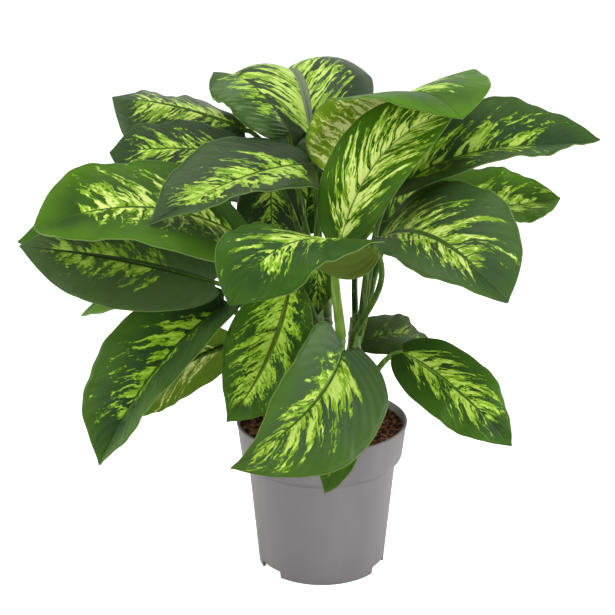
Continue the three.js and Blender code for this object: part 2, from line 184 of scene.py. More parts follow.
def turn_profile(name, profile, sides, closed):
    bpy.ops.object.select_all(action="DESELECT")
    radius, height = profile[0]
    centre = pot_axis + Vector((0, 0, height))
    bpy.ops.mesh.primitive_circle_add(vertices=sides, radius=radius, location=centre)
    turned = bpy.context.object
    turned.name = name
    bpy.ops.object.transform_apply(location=True)
    bpy.ops.object.mode_set(mode="EDIT")
    bpy.ops.mesh.select_all(action="SELECT")
    for next_radius, next_height in profile[1:]:
        step = {"value": (0, 0, next_height - height)}
        bpy.ops.mesh.extrude_region_move(TRANSFORM_OT_translate=step)
        share = next_radius / radius
        centre = pot_axis + Vector((0, 0, next_height))
        bpy.ops.transform.resize(value=(share, share, 1), center_override=centre)
        radius, height = next_radius, next_height
    bpy.ops.mesh.select_all(action="SELECT")
    bpy.ops.mesh.remove_doubles(threshold=weld_distance)
    if not closed:
        bpy.ops.mesh.select_non_manifold()
        bpy.ops.mesh.fill_holes(sides=0)
        bpy.ops.mesh.select_all(action="SELECT")
    bpy.ops.mesh.normals_make_consistent(inside=False)
    bpy.ops.object.mode_set(mode="OBJECT")
    return turned


def apply_modifier(piece, kind, **settings):
    modifier = piece.modifiers.new(kind.lower(), kind)
    for name, value in settings.items():
        setattr(modifier, name, value)
    bpy.context.view_layer.objects.active = piece
    bpy.ops.object.modifier_apply(modifier=modifier.name)


pot_height = pot_high.z
rim_radius = (pot_high.x - pot_low.x) / 2
band_foot_radius, band_foot_height = 0.0900, 0.1315
step_radius, step_height = 0.0825, 0.1225
foot_radius = 0.071
wall = 0.0018
floor_under, floor_top = 0.005, 0.0075
notch_angles = (-144, -24, 96)
notch_width, notch_height, notch_depth = 0.034, 0.008, 0.015
notch_corner = 0.0025
drain_radius, drain_circle, drain_sides = 0.004, 0.056, 32
axis_hole = 0.001
pot_sides = 144
edge_radius, edge_angle = 0.0003, math.radians(40)
smooth_angle = math.radians(32)
wall_slope = (step_radius - foot_radius) / step_height
pot_profile = [
    (foot_radius, 0),
    (foot_radius + wall_slope * 0.04, 0.04),
    (foot_radius + wall_slope * 0.08, 0.08),
    (step_radius, step_height),
    (step_radius + 0.0015, step_height + 0.0012),
    (band_foot_radius - 0.0008, band_foot_height - 0.0018),
    (band_foot_radius, band_foot_height),
    (rim_radius - 0.0006, pot_height - 0.0030),
    (rim_radius, pot_height - 0.0022),
    (rim_radius, pot_height - 0.0006),
    (rim_radius - 0.0008, pot_height),
    (rim_radius - wall - 0.0006, pot_height),
    (band_foot_radius - wall, band_foot_height + 0.0015),
    (step_radius - wall, step_height + 0.0015),
    (foot_radius - wall + wall_slope * floor_top, floor_top),
    (axis_hole, floor_top),
    (axis_hole, floor_under),
    (foot_radius - wall - 0.0010, floor_under),
    (foot_radius - wall - 0.0014, 0),
    (foot_radius, 0),
]
pot = turn_profile("pot_shell", pot_profile, pot_sides, closed=True)
for angle in map(math.radians, notch_angles):
    outward = Vector((math.cos(angle), math.sin(angle), 0))
    bpy.ops.mesh.primitive_cube_add(size=1)
    notch = bpy.context.object
    notch.scale = (notch_depth * 2, notch_width, notch_height * 2)
    notch.rotation_euler = (0, 0, angle)
    notch.location = pot_axis + outward * (foot_radius + notch_depth / 3)
    bpy.ops.object.transform_apply()
    apply_modifier(notch, "BEVEL", width=notch_corner, segments=4)
    bpy.ops.mesh.primitive_cylinder_add(vertices=drain_sides, radius=drain_radius, depth=drain_radius * 10,
                                        location=pot_axis + outward * drain_circle)
    drain = bpy.context.object
    for cutter in (notch, drain):
        apply_modifier(pot, "BOOLEAN", object=cutter, operation="DIFFERENCE", solver="EXACT")
        bpy.data.objects.remove(cutter)
apply_modifier(pot, "BEVEL", width=edge_radius, segments=2, limit_method="ANGLE", angle_limit=edge_angle)
bpy.ops.object.select_all(action="DESELECT")
pot.select_set(True)
bpy.context.view_layer.objects.active = pot
bpy.ops.object.shade_smooth_by_angle(angle=smooth_angle)

grey_low, grey_high = (0.158, 0.141, 0.146), (0.177, 0.158, 0.163)
grey_streak, grey_scuff = (0.192, 0.172, 0.177), (0.34, 0.33, 0.32)
grey_plastic, tree, shader = new_finish("grey_polypropylene", Specular_IOR_Level=0.55)
streaks = surface_noise(tree, 30, 3, stretch=(1, 1, 0.06))
cloud = surface_noise(tree, 9, 2)
speck = ramp_up(tree, surface_noise(tree, 620, 2), 0.70, 0.76)
tone = blend_colours(tree, ramp_up(tree, cloud, 0.3, 0.7), grey_low, grey_high)
tone = blend_colours(tree, ramp_up(tree, streaks, 0.45, 0.75), tone, grey_streak)
tone = blend_colours(tree, reckon(tree, "MULTIPLY", speck, 0.5), tone, grey_scuff)
tree.links.new(tone, shader.inputs["Base Color"])
tree.links.new(reckon(tree, "MULTIPLY_ADD", streaks, 0.18, 0.36), shader.inputs["Roughness"])
grain = reckon(tree, "ADD", surface_noise(tree, 900, 2), reckon(tree, "MULTIPLY", streaks, 1.5))
relief(tree, shader, grain, 0.25, 0.0002)
pot.data.materials.append(grey_plastic)
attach(pot, "root")
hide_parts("pot")


# The soil is a moist reddish-brown mix of peat and bark. Its top is a lumpy bed, with loose crumbs of bark
# and coir half sunk in it. Each crumb is a stretched, roughened ball, and one in fourteen is a large one.
soil_low, soil_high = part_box("soil")
soil_level = 0.161
soil_clear = 0.0006
soil_inner = wall + soil_clear
top_radius = (soil_high.x - soil_low.x) / 2
soil_rings, soil_sides = 26, 128
soil_foot = floor_top + 0.0003
centre_hole = 0.0004
soil_profile = [
    (axis_hole, soil_foot),
    (foot_radius - soil_inner + wall_slope * floor_top, soil_foot),
    (step_radius - soil_inner, step_height + wall),
    (band_foot_radius - soil_inner - soil_clear, band_foot_height + wall * 1.4),
]
for ring in range(soil_rings, -1, -1):
    soil_profile.append((top_radius * ring / soil_rings + centre_hole, soil_level))
soil = turn_profile("soil_bed", soil_profile, soil_sides, closed=False)
soil_lumps = ((0.0026, 45), (0.0017, 190), (0.0008, 520))


def lumps(x, y):
    place = Vector((x, y, 0))
    return sum(height * noise.noise(place * scale) for height, scale in soil_lumps)


for vertex in soil.data.vertices:
    if vertex.co.z > soil_level - 0.0001:
        vertex.co.z = soil_level + lumps(vertex.co.x, vertex.co.y)
bpy.ops.object.shade_smooth()

peat_dark, peat_red = (0.085, 0.032, 0.017), (0.46, 0.17, 0.085)
# The last of these tones is painted shade for the gaps between crumbs.
coir, hollow = (0.62, 0.27, 0.14), (0.030, 0.012, 0.007)
peat, tree, shader = new_finish("peat_and_bark", Specular_IOR_Level=0.1)
where = place_node(tree, "TexCoord").outputs["Object"]
crumb = place_node(tree, "TexVoronoi", {"Vector": where, "Scale": 210.0})
patch = surface_noise(tree, 85, 4)
fibre = surface_noise(tree, 520, 3, stretch=(1, 0.22, 1))
tone = blend_colours(tree, ramp_up(tree, patch, 0.35, 0.68), peat_dark, peat_red)
tone = blend_colours(tree, ramp_up(tree, fibre, 0.55, 0.75), tone, coir)
# The gaps between crumbs, which the relief sinks, are painted near black as their shade.
tone = blend_colours(tree, ramp_up(tree, crumb.outputs["Distance"], 0.35, 0.75), tone, hollow)
tree.links.new(tone, shader.inputs["Base Color"])
tree.links.new(reckon(tree, "MULTIPLY_ADD", patch, 0.3, 0.65), shader.inputs["Roughness"])
relief(tree, shader, reckon(tree, "SUBTRACT", fibre, crumb.outputs["Distance"]), 0.9, 0.0012)
soil.data.materials.append(peat)
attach(soil, "root")
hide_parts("soil")

bpy.ops.object.select_all(action="DESELECT")
bpy.ops.mesh.primitive_ico_sphere_add(subdivisions=1, radius=0.5)
crumbs = bpy.context.object
crumbs.name = "bark_crumbs"
crumb_shape = [vertex.co.copy() for vertex in crumbs.data.vertices]
crumb_faces = [tuple(face.vertices) for face in crumbs.data.polygons]
chance = random.Random(7)
crumb_count = 1500
crumb_least, crumb_most = 0.0012, 0.0042
large_every, large_share = 14, 1.6
crumb_tilt, crumb_rough, crumb_lift = 0.6, 0.35, 0.12
rim_clear = 0.003
crumb_points, crumb_sides = [], []
for number in range(crumb_count):
    away = (top_radius - rim_clear) * math.sqrt(chance.random())
    angle = chance.uniform(0, 2 * math.pi)
    x, y = pot_axis.x + away * math.cos(angle), pot_axis.y + away * math.sin(angle)
    size = chance.uniform(crumb_least, crumb_most) * (large_share if number % large_every == 0 else 1)
    stretch = Vector((1, chance.uniform(0.35, 0.9), chance.uniform(0.25, 0.7)))
    turn = Matrix.Rotation(chance.uniform(0, 6.3), 3, "Z")
    turn = turn @ Matrix.Rotation(chance.uniform(-crumb_tilt, crumb_tilt), 3, "X")
    place = Vector((x, y, soil_level + lumps(x, y) + size * crumb_lift))
    first = len(crumb_points)
    for corner in crumb_shape:
        rough = 1 + crumb_rough * noise.noise(corner * 3 + Vector((number, 0, 0)))
        crumb_points.append(place + turn @ (corner * stretch * size * rough))
    crumb_sides += [tuple(first + corner for corner in face) for face in crumb_faces]
crumbs.data.clear_geometry()
crumbs.data.from_pydata(crumb_points, [], crumb_sides)
crumbs.data.materials.append(peat)
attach(crumbs, "root")


# Five short canes stand in the soil. Each is a green stem with a pale raised ring where an old leaf grew,
# and a slight taper to its growing end.
canes = {
    "front": dict(foot=(0.012, -0.038), top=(0.019, -0.046, 0.285), radius=0.0085),
    "left": dict(foot=(-0.038, -0.008), top=(-0.054, -0.012, 0.305), radius=0.009),
    "right": dict(foot=(0.032, 0.002), top=(0.038, 0.008, 0.290), radius=0.009),
    "back": dict(foot=(0.006, 0.040), top=(0.002, 0.054, 0.345), radius=0.009),
    "middle": dict(foot=(-0.004, 0.002), top=(-0.008, 0.004, 0.350), radius=0.0085),
}
cane_depth = 0.055
cane_taper = 0.78
cane_sides = 20
ring_spacing, ring_height, ring_steps = 0.022, 0.0009, 6
scar_from, scar_full = 0.0016, 0.0006
top_share, top_rounding = 0.35, 0.3
halvings = 24


def smooth_curve(points, share):
    place = share * (len(points) - 1)
    first = min(int(place), len(points) - 2)
    part = place - first
    before = points[first - 1] if first else points[0] * 2 - points[1]
    after = points[first + 2] if first + 2 < len(points) else points[-1] * 2 - points[-2]
    start, end = points[first], points[first + 1]
    reach = [max((b - a).length, 1e-6) ** 0.5 for a, b in ((before, start), (start, end), (end, after))]
    entry, here, leave = reach
    leaving = (start - before) / entry - (end - before) / (entry + here) + (end - start) / here
    coming = (end - start) / here - (after - start) / (here + leave) + (after - end) / leave
    leaving, coming = leaving * here, coming * here
    bow = (end - start) * 3 - leaving * 2 - coming
    return start + leaving * part + bow * part ** 2 + ((start - end) * 2 + leaving + coming) * part ** 3


def cane_points(cane):
    foot, top = Vector((*cane["foot"], 0)), Vector(cane["top"])
    ground = foot + Vector((0, 0, soil_level - cane_depth))
    above = foot + Vector((0, 0, soil_level + 0.02))
    near = above.lerp(top, 0.55) + Vector(((foot.x - top.x) * 0.12, 0, 0))
    return [ground, above, near, top]


def cane_at(cane, height):
    points = cane_points(canes[cane])
    low, high = 0.0, 1.0
    for _ in range(halvings):
        middle = (low + high) / 2
        if smooth_curve(points, middle).z < height:
            low = middle
        else:
            high = middle
    return smooth_curve(points, low)


def round_stem(name, path, radii, sides):
    outline = bpy.data.curves.new(name, "CURVE")
    outline.dimensions = "3D"
    outline.bevel_depth = 1.0
    outline.bevel_resolution = sides // 4 - 1
    outline.use_fill_caps = True
    line = outline.splines.new("POLY")
    line.points.add(len(path) - 1)
    for point, place, radius in zip(line.points, path, radii):
        point.co = (*(place + pot_axis), 1)
        point.radius = radius
    stem = bpy.data.objects.new(name, outline)
    bpy.context.scene.collection.objects.link(stem)
    bpy.ops.object.select_all(action="DESELECT")
    stem.select_set(True)
    bpy.context.view_layer.objects.active = stem
    bpy.ops.object.convert(target="MESH")
    bpy.ops.object.shade_smooth()
    return bpy.context.object


cane_dark, cane_green = (0.05, 0.10, 0.016), (0.11, 0.19, 0.035)
cane_fleck, cane_scar = (0.24, 0.33, 0.10), (0.30, 0.26, 0.15)
cane_skin, tree, shader = new_finish("cane_skin", Specular_IOR_Level=0.4)
where = place_node(tree, "TexCoord").outputs["Object"]
height = place_node(tree, "SeparateXYZ", {"Vector": where}).outputs["Z"]
wander = reckon(tree, "MULTIPLY", surface_noise(tree, 90, 2), 0.004)
ring = reckon(tree, "PINGPONG", reckon(tree, "ADD", height, wander), ring_spacing / 2)
scar = ramp_up(tree, ring, ring_spacing / 2 - scar_from, ring_spacing / 2 - scar_full)
fleck = ramp_up(tree, surface_noise(tree, 260, 3, stretch=(1, 1, 0.35)), 0.54, 0.66)
cloud = ramp_up(tree, surface_noise(tree, 40, 2), 0.35, 0.65)
tone = blend_colours(tree, cloud, cane_dark, cane_green)
tone = blend_colours(tree, reckon(tree, "MULTIPLY", fleck, 0.35), tone, cane_fleck)
tone = blend_colours(tree, reckon(tree, "MULTIPLY", scar, 0.7), tone, cane_scar)
tree.links.new(tone, shader.inputs["Base Color"])
tree.links.new(reckon(tree, "MULTIPLY_ADD", fleck, 0.15, 0.42), shader.inputs["Roughness"])
relief(tree, shader, reckon(tree, "ADD", fleck, scar), 0.4, 0.0005)

for cane_name, cane in canes.items():
    points = cane_points(cane)
    steps = round((points[-1].z - points[0].z) / ring_spacing * ring_steps)
    shares = [step / steps for step in range(steps + 1)]
    radii = []
    for step, share in enumerate(shares):
        bulge = ring_height * max(0, math.cos(2 * math.pi * step / ring_steps)) ** 3
        end_round = min(1, top_share + (1 - share) * steps * top_rounding)
        radii.append((cane["radius"] * (1 - (1 - cane_taper) * share) + bulge) * end_round)
    path = [smooth_curve(points, share) for share in shares]
    stem = round_stem("stem_" + cane_name, path, radii, cane_sides)
    stem.data.materials.append(cane_skin)
    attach(stem, "root")
    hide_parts("cane_" + cane_name)


# The leaves: each is grown in one piece, a round petiole that runs on as the raised rib under a thin blade.
# The table says where each leaf grows and how its blade bows, folds, curls and waves. Angles are in degrees
# and a wave's height is in millimetres. Of two values, the left half's or the base's comes first.
leaf_shapes = {
    "leaf_front": dict(cane="front", start=0.205, base=(0.02, -0.066, 0.274),
        tip=(-0.092, -0.195, 0.197), face=(0.62, -0.71, 0.28), width=0.134, rise=(0.033, 0.035),
        bend=-0.005, fold=(27, 32), curl=(6, 18), lobe=(0.1, -0.03), full=(0.23, 0.35), plump=(0, -0.9)),
    "leaf_pot_edge": dict(cane="front", start=0.172, base=(0.028, -0.084, 0.212),
        tip=(0.002, -0.125, 0.137), face=(0.1, -0.8, 0.5), width=0.042, fold=(30, 10), plump=(0.4, 0)),
    "leaf_left_inner": dict(cane="front", start=0.245, base=(-0.034, -0.05, 0.339),
        tip=(-0.1, -0.1, 0.207), face=(-0.1, -0.9, 0.4), width=0.098, bend=-0.013, fold=(18, 20),
        full=(-0.5, 0)),
    "leaf_center": dict(cane="right", start=0.244, base=(0.048, -0.132, 0.409),
        tip=(-0.088, -0.229, 0.376), face=(0.1, -0.4, 0.9), width=0.104, rise=(0.02, 0.056), bend=0.016,
        twist=(45, -8), fold=(8, 14), curl=(24, 14), lobe=(0.04, 0.04), blunt=3, full=(0, 0.2),
        hang=(0, 115), sway=(-0.022, -0.018, -0.04)),
    "leaf_upper_left": dict(cane="middle", start=0.326, base=(-0.015, -0.01, 0.461),
        tip=(-0.171, -0.121, 0.425), face=(0.1, -0.5, 0.8), width=0.112, fold=(46, 14),
        lobe=(0.03, 0.055), plump=(0, 0.15), hang=(62, 0)),
    "leaf_left_bright": dict(cane="left", start=0.292, base=(-0.083, -0.04, 0.389),
        tip=(-0.296, -0.07, 0.407), face=(0, -0.5, 0.86), width=0.132, rise=(0.054, 0.046),
        twist=(-8, -14), fold=(36, -4), curl=(12, 12), wave=(4, 2.5, 0.15), blunt=8, full=(1.2, 0.1),
        plump=(-0.55, 0.05)),
    "leaf_left_dark": dict(cane="left", start=0.255, base=(-0.115, -0.055, 0.346),
        tip=(-0.315, -0.05, 0.383), face=(0.1, -0.8, 0.55), width=0.112, full=(-0.2, 0), plump=(0.2, 0)),
    "leaf_left_hidden": dict(cane="left", start=0.27, base=(-0.13, 0.05, 0.36),
        tip=(-0.336, 0.045, 0.361), face=(0, -0.3, 0.95), width=0.09, blunt=3, plump=(0, 0.4)),
    "leaf_left_low": dict(cane="left", start=0.215, base=(-0.147, 0.04, 0.307),
        tip=(-0.276, 0.08, 0.263), face=(-0.2, -0.2, 0.9), width=0.084, wave=(0, 1, 0),
        sway=(0.0, 0.008, 0.0)),
    "leaf_low_left": dict(cane="left", start=0.231, base=(-0.105, -0.014, 0.307),
        tip=(-0.237, -0.088, 0.152), face=(-0.5, -0.7, 0.55), width=0.128, rise=(0.034, 0.03),
        fold=(42, 28), curl=(14, 14), blunt=1, full=(0.3, 0), plump=(-0.1, 0)),
    "leaf_low_left_under": dict(cane="left", start=0.182, base=(-0.101, 0.005, 0.256),
        tip=(-0.224, -0.045, 0.184), face=(-0.53, 0.81, 0.25), width=0.098, wave=(1, 2.5, 0)),
    "leaf_top_left": dict(cane="back", start=0.3, base=(-0.087, 0.112, 0.475),
        tip=(-0.235, 0.122, 0.508), face=(0, -0.2, 0.98), width=0.102, rise=(0.01, 0.01), fold=(-45, 0),
        blunt=4, full=(0, 0.3), plump=(0.4, 0), sway=(-0.01, 0.006, 0.0)),
    "leaf_upper_left_dark": dict(cane="middle", start=0.345, base=(-0.084, 0.038, 0.459),
        tip=(-0.229, 0.036, 0.463), face=(0, -0.5, 0.85), width=0.094, rise=(0.014, 0.01), fold=(2, 8),
        blunt=4, full=(-0.2, 0)),
    "leaf_top": dict(cane="back", start=0.344, base=(-0.012, 0.062, 0.48), tip=(-0.08, 0.245, 0.47),
        face=(0.05, -0.3, 0.95), width=0.18, rise=(0.088, 0.06), bend=0.014, fold=(39, 39),
        curl=(96, 96)),
    "leaf_top_side": dict(cane="back", start=0.324, base=(-0.036, 0.02, 0.4902),
        tip=(-0.116, 0.048, 0.548), face=(0.13, -0.56, 0.82), width=0.084, rise=(0.025, 0.036),
        fold=(6, -50), lobe=(0.03, 0.03), blunt=4, sway=(-0.016, -0.008, 0.0)),
    "leaf_arching": dict(cane="back", start=0.288, base=(0.032, 0.056, 0.442),
        tip=(0.139, -0.064, 0.519), face=(-0.1, 0.45, 0.9), width=0.182, rise=(0.058, 0.078),
        twist=(-1, 0), fold=(27, -2), curl=(14, 14), lobe=(0.04, 0.04), blunt=3, full=(0, 0.27),
        plump=(-0.1, 0)),
    "leaf_right_upright": dict(cane="front", start=0.284, base=(0.02, -0.055, 0.396),
        tip=(0.144, 0.012, 0.516), face=(0, -0.82, 0.46), width=0.09, rise=(0.04, 0.03), bend=-0.022,
        fold=(16, 46), sway=(-0.005, -0.008, 0.0), thick=1.4),
    "leaf_right_top": dict(cane="right", start=0.288, base=(0.08, 0.02, 0.426), tip=(0.303, 0.06, 0.472),
        face=(-0.1, -0.3, 0.95), width=0.128, rise=(0.046, 0.008), fold=(42, 30), lobe=(0.03, 0.03),
        plump=(0.5, -0.6), sway=(0.004, 0.004, 0.0)),
    "leaf_right_mid": dict(cane="right", start=0.256, base=(0.114, 0.06, 0.396), tip=(0.27, 0.1, 0.397),
        face=(0, -0.6, 0.8), width=0.096, rise=(0.002, -0.014), fold=(25, 40), blunt=1, plump=(0.1, 0.4),
        sway=(0.0, 0.014, 0.0)),
    "leaf_right_big": dict(cane="right", start=0.268, base=(0.061, -0.015, 0.38),
        tip=(0.18, -0.15, 0.353), face=(0, -0.3, 0.95), width=0.136, rise=(0.05, 0.038), fold=(42, 18),
        lobe=(0.04, 0.04), full=(0.2, -0.1), plump=(1, 0.1), sway=(0.0, -0.008, 0.0)),
    "leaf_right_low": dict(cane="right", start=0.185, base=(0.087, -0.03, 0.258),
        tip=(0.201, -0.08, 0.171), face=(0.2, -0.75, 0.6), width=0.084, plump=(0.15, 0.1),
        sway=(0.002, 0.0, -0.009)),
    "leaf_right_small": dict(cane="right", start=0.172, base=(0.043, 0.03, 0.248),
        tip=(0.131, 0.07, 0.226), face=(0, -0.35, 0.93), width=0.066, fold=(20, 10)),
    "leaf_hanging": dict(cane="middle", start=0.292, base=(-0.004, -0.022, 0.365),
        tip=(-0.008, -0.025, 0.297), face=(0.1, -0.98, 0.15), width=0.034, rise=(0.006, 0.005),
        fold=(12, 12), curl=(10, 10), thick=0.6),
    "leaf_inner": dict(cane="back", start=0.25, base=(-0.056, 0.052, 0.432), tip=(-0.054, 0.05, 0.35),
        face=(-0.1, -0.9, 0.3), width=0.076, rise=(0.008, 0.006), sway=(-0.006, 0.006, 0.0)),
    "leaf_rear_top": dict(cane="back", start=0.27, base=(0.012, 0.11, 0.42), tip=(0.044, 0.26, 0.44),
        face=(0, 0, 1), width=0.11),
    "leaf_rear_left": dict(cane="left", start=0.297, base=(-0.104, 0.09, 0.396),
        tip=(-0.244, 0.18, 0.372), face=(0, 0.2, 0.95), width=0.11, sway=(-0.034, 0.01, 0.0)),
    "leaf_rear_right": dict(cane="right", start=0.222, base=(0.062, 0.092, 0.366),
        tip=(0.19, 0.2, 0.373), face=(0, -0.5, 0.85), width=0.1),
    "leaf_rear_low": dict(cane="back", start=0.198, base=(-0.02, 0.11, 0.28), tip=(-0.06, 0.21, 0.19),
        face=(0, 0.5, 0.8), width=0.1, sway=(0.004, 0.0, 0.0)),
    "leaf_rear_mid": dict(cane="back", start=0.238, base=(-0.02, 0.104, 0.362), tip=(-0.005, 0.2, 0.428),
        face=(0, -0.8, 0.6), width=0.084, sway=(0.004, 0.0, 0.0)),
    "leaf_rear_low_left": dict(cane="back", start=0.22, base=(-0.09, 0.1, 0.32), tip=(-0.2, 0.17, 0.27),
        face=(-0.2, 0.4, 0.9), width=0.092, sway=(-0.006, -0.004, 0.0)),
}
usual_shape = dict(width=0.112, rise=(0.026, 0.020), bend=0, twist=(0, 0), fold=(14, 14), curl=(24, 24),
                   wave=(3, 2.5, 0), sway=(0, 0, 0), lobe=(0.055, 0.055), blunt=0, full=(0, 0),
                   plump=(0, 0), hang=(0, 0), thick=1)
outline_widest, widest_row, sinus = 0.43, 0.32, 0.2
narrowest = 0.012
blade_thickness = 0.001
blade_rows, blade_columns = 60, 32
row_spacing, column_spacing = 1.2, 1.5
vein_lean = 1.2
half_wave_shift, half_ripple_shift = 2.2, 1.3
ripple_height, ripples_per_wave = 0.0009, 3.1
groove_depth, groove_width = 0.0009, 0.0056

petiole_root, petiole_end, petiole_sides = 0.0042, 0.0027, 12
petiole_off_axis = 0.6
petiole_steps = 22
petiole_lean, petiole_rise, petiole_arrival = 0.3, 0.45, 0.3
rib_steps, rib_end = 20, 0.96
rib_taper, rib_tip = 1.1, 0.0004
rib_sunk, rib_clear = 0.75, 0.0003

# Where petioles crowd inside the plant, some are slimmer, so that they pass one another freely.
slimmed = {
    "leaf_inner": 0.65,
    "leaf_rear_mid": 0.75,
    "leaf_arching": 0.8,
    "leaf_rear_top": 0.85,
    "leaf_upper_left_dark": 0.85,
    "leaf_low_left": 0.88,
    "leaf_top_side": 0.88,
    "leaf_left_dark": 0.9,
    "leaf_upper_left": 0.95,
}


# How far along the rib and how far out the margin lies at a row, as shares of the length and half width.
def margin(row, lobe, blunt):
    start = math.asin(sinus)
    if row < widest_row:
        angle = start + (math.pi / 2 - start) * (row / widest_row) ** 0.68
        along = outline_widest - (outline_widest + lobe) * max(0, math.cos(angle)) ** 0.92
        return along, math.sin(angle) ** 0.95
    rest = ((row - widest_row) / (1 - widest_row)) ** 0.88
    out = max(0, 1 - rest ** (2 + blunt)) ** 0.95 * (1 - 0.25 * rest ** 5)
    return outline_widest + (1 - outline_widest) * rest, max(narrowest, out)


class Blade:
    def __init__(self, shape):
        self.shape = {**usual_shape, **shape}
        self.base = Vector(self.shape["base"])
        self.ahead = Vector(self.shape["tip"]) - self.base
        self.length = self.ahead.length
        self.ahead.normalize()
        face = Vector(self.shape["face"])
        self.up = (face - self.ahead * face.dot(self.ahead)).normalized()
        self.side = self.ahead.cross(self.up)

    def midrib(self, t):
        rise = self.shape["rise"]
        lift = 3 * t * (1 - t) ** 2 * rise[0] + 3 * t ** 2 * (1 - t) * rise[1]
        bow = self.shape["bend"] * 4 * t * (1 - t)
        return self.base + self.ahead * self.length * t + self.up * lift + self.side * bow

    def directions(self, t):
        tangent = (self.midrib(t + 0.002) - self.midrib(t - 0.002)).normalized()
        normal = (self.up - tangent * self.up.dot(tangent)).normalized()
        share = min(max(t, 0), 1)
        twist = self.shape["twist"]
        roll = math.radians(twist[0] * (1 - share) + twist[1] * share)
        normal = Matrix.Rotation(roll, 3, tangent) @ normal
        return tangent, normal, tangent.cross(normal)

    def point(self, row, across):
        shape = self.shape
        half = 0 if across < 0 else 1
        along, outward = margin(row, shape["lobe"][half], shape["blunt"])
        reach = abs(across)
        t = row + (along - row) * reach ** vein_lean
        swelling = 1 + shape["full"][half] * (1 - row) ** 3 + shape["plump"][half] * row ** 3
        out = shape["width"] / 2 * outward * reach * swelling
        fall = shape["hang"][half] * (1 - row) ** 6
        angle = math.radians(shape["fold"][half] - fall - shape["curl"][half] * reach / 2)
        high, count, first = shape["wave"]
        fade = math.sqrt(max(0, math.sin(math.pi * min(row, 1))))
        swell = math.sin(2 * math.pi * (count * row + first) + half * half_wave_shift)
        wave = high / 1000 * reach ** 2 * swell * fade
        turns = count * ripples_per_wave * row
        ruffle = math.sin(2 * math.pi * turns + half * half_ripple_shift)
        ripple = ripple_height * reach ** 4 * ruffle * fade
        hollow = math.exp(-((reach * shape["width"] / groove_width) ** 2))
        groove = -groove_depth * hollow * (1 - 0.7 * row)
        tangent, normal, right = self.directions(t)
        flat = self.midrib(t) + right * math.copysign(out, across) * math.cos(angle)
        return flat + normal * (out * math.sin(angle) + wave + ripple + groove)


def petiole_path(shape, blade):
    start = cane_at(shape["cane"], shape["start"])
    base = blade.midrib(0)
    outward = Vector((base.x - start.x, base.y - start.y, 0))
    start += outward.normalized() * canes[shape["cane"]]["radius"] * petiole_off_axis
    length = (base - start).length
    tangent, _, _ = blade.directions(0)
    rise = Vector((
        (base.x - start.x) * petiole_lean,
        (base.y - start.y) * petiole_lean,
        length * petiole_rise,
    ))
    sway = Vector(blade.shape["sway"])
    pull = [start, start + rise + sway, base - tangent * length * petiole_arrival + sway, base]
    path = []
    for step in range(petiole_steps):
        t = step / petiole_steps
        weights = ((1 - t) ** 3, 3 * t * (1 - t) ** 2, 3 * t * t * (1 - t), t ** 3)
        path.append(sum((point * weight for point, weight in zip(pull, weights)), Vector()))
    return path


def grow_leaf(name, shape):
    blade = Blade(shape)
    bpy.ops.object.select_all(action="DESELECT")
    bpy.ops.mesh.primitive_grid_add(x_subdivisions=blade_columns, y_subdivisions=blade_rows, size=2)
    leaf = bpy.context.object
    leaf.name = name + "_grown"
    places = []
    for vertex in leaf.data.vertices:
        across = math.copysign(abs(vertex.co.x) ** column_spacing, vertex.co.x)
        row = max(0, min(1, (vertex.co.y + 1) / 2)) ** row_spacing
        places.append((row, across))
        vertex.co = blade.point(row, across) + pot_axis
    unwrapped = leaf.data.uv_layers[0].data
    for loop in leaf.data.loops:
        row, across = places[loop.vertex_index]
        unwrapped[loop.index].uv = ((across + 1) / 2, row)
    return leaf, blade


def grow_petiole(name, shape, blade):
    path = petiole_path(shape, blade)
    thick = blade.shape["thick"] * slimmed.get(name, 1)
    thinning = (petiole_end - petiole_root) / petiole_steps
    radii = [(petiole_root + thinning * step) * thick for step in range(petiole_steps)]
    for step in range(rib_steps + 1):
        t = rib_end * step / rib_steps
        _, normal, _ = blade.directions(t)
        radius = (petiole_end * (1 - t) ** rib_taper + rib_tip) * thick
        path.append(blade.midrib(t) - normal * (radius * rib_sunk + rib_clear))
        radii.append(radius)
    return round_stem(name + "_petiole", path, radii, petiole_sides)


# The blade's feathering follows its side veins: pale flames start at the rib, run out and forwards, and end
# in points. A blade's look says how full they are, how far they reach on each half, and along which stretch
# of the rib they grow. The blade's map holds the place across it and the row along the rib.
side_veins = 15
vein_bow = 1.15
vein_wander = 0.065
flame_weight, streak_weight, fleck_weight = 2.7, 0.80, 1.05
bare_depth = 0.25
rib_at_base, rib_thinning = 0.040, -0.024
feather_inputs = {
    "Seed": 0,
    "Fill": 0.5,
    "Left Reach": 0.6,
    "Right Reach": 0.6,
    "Flames": 20,
    "First Row": 0.05,
    "Last Row": 0.85,
    "Rib Width": 1,
    "Left Sweep": 0.28,
    "Right Sweep": 0.28,
}
feather_outputs = ("Halo", "Pale", "Core", "Rib", "Edge", "Margin", "Relief")


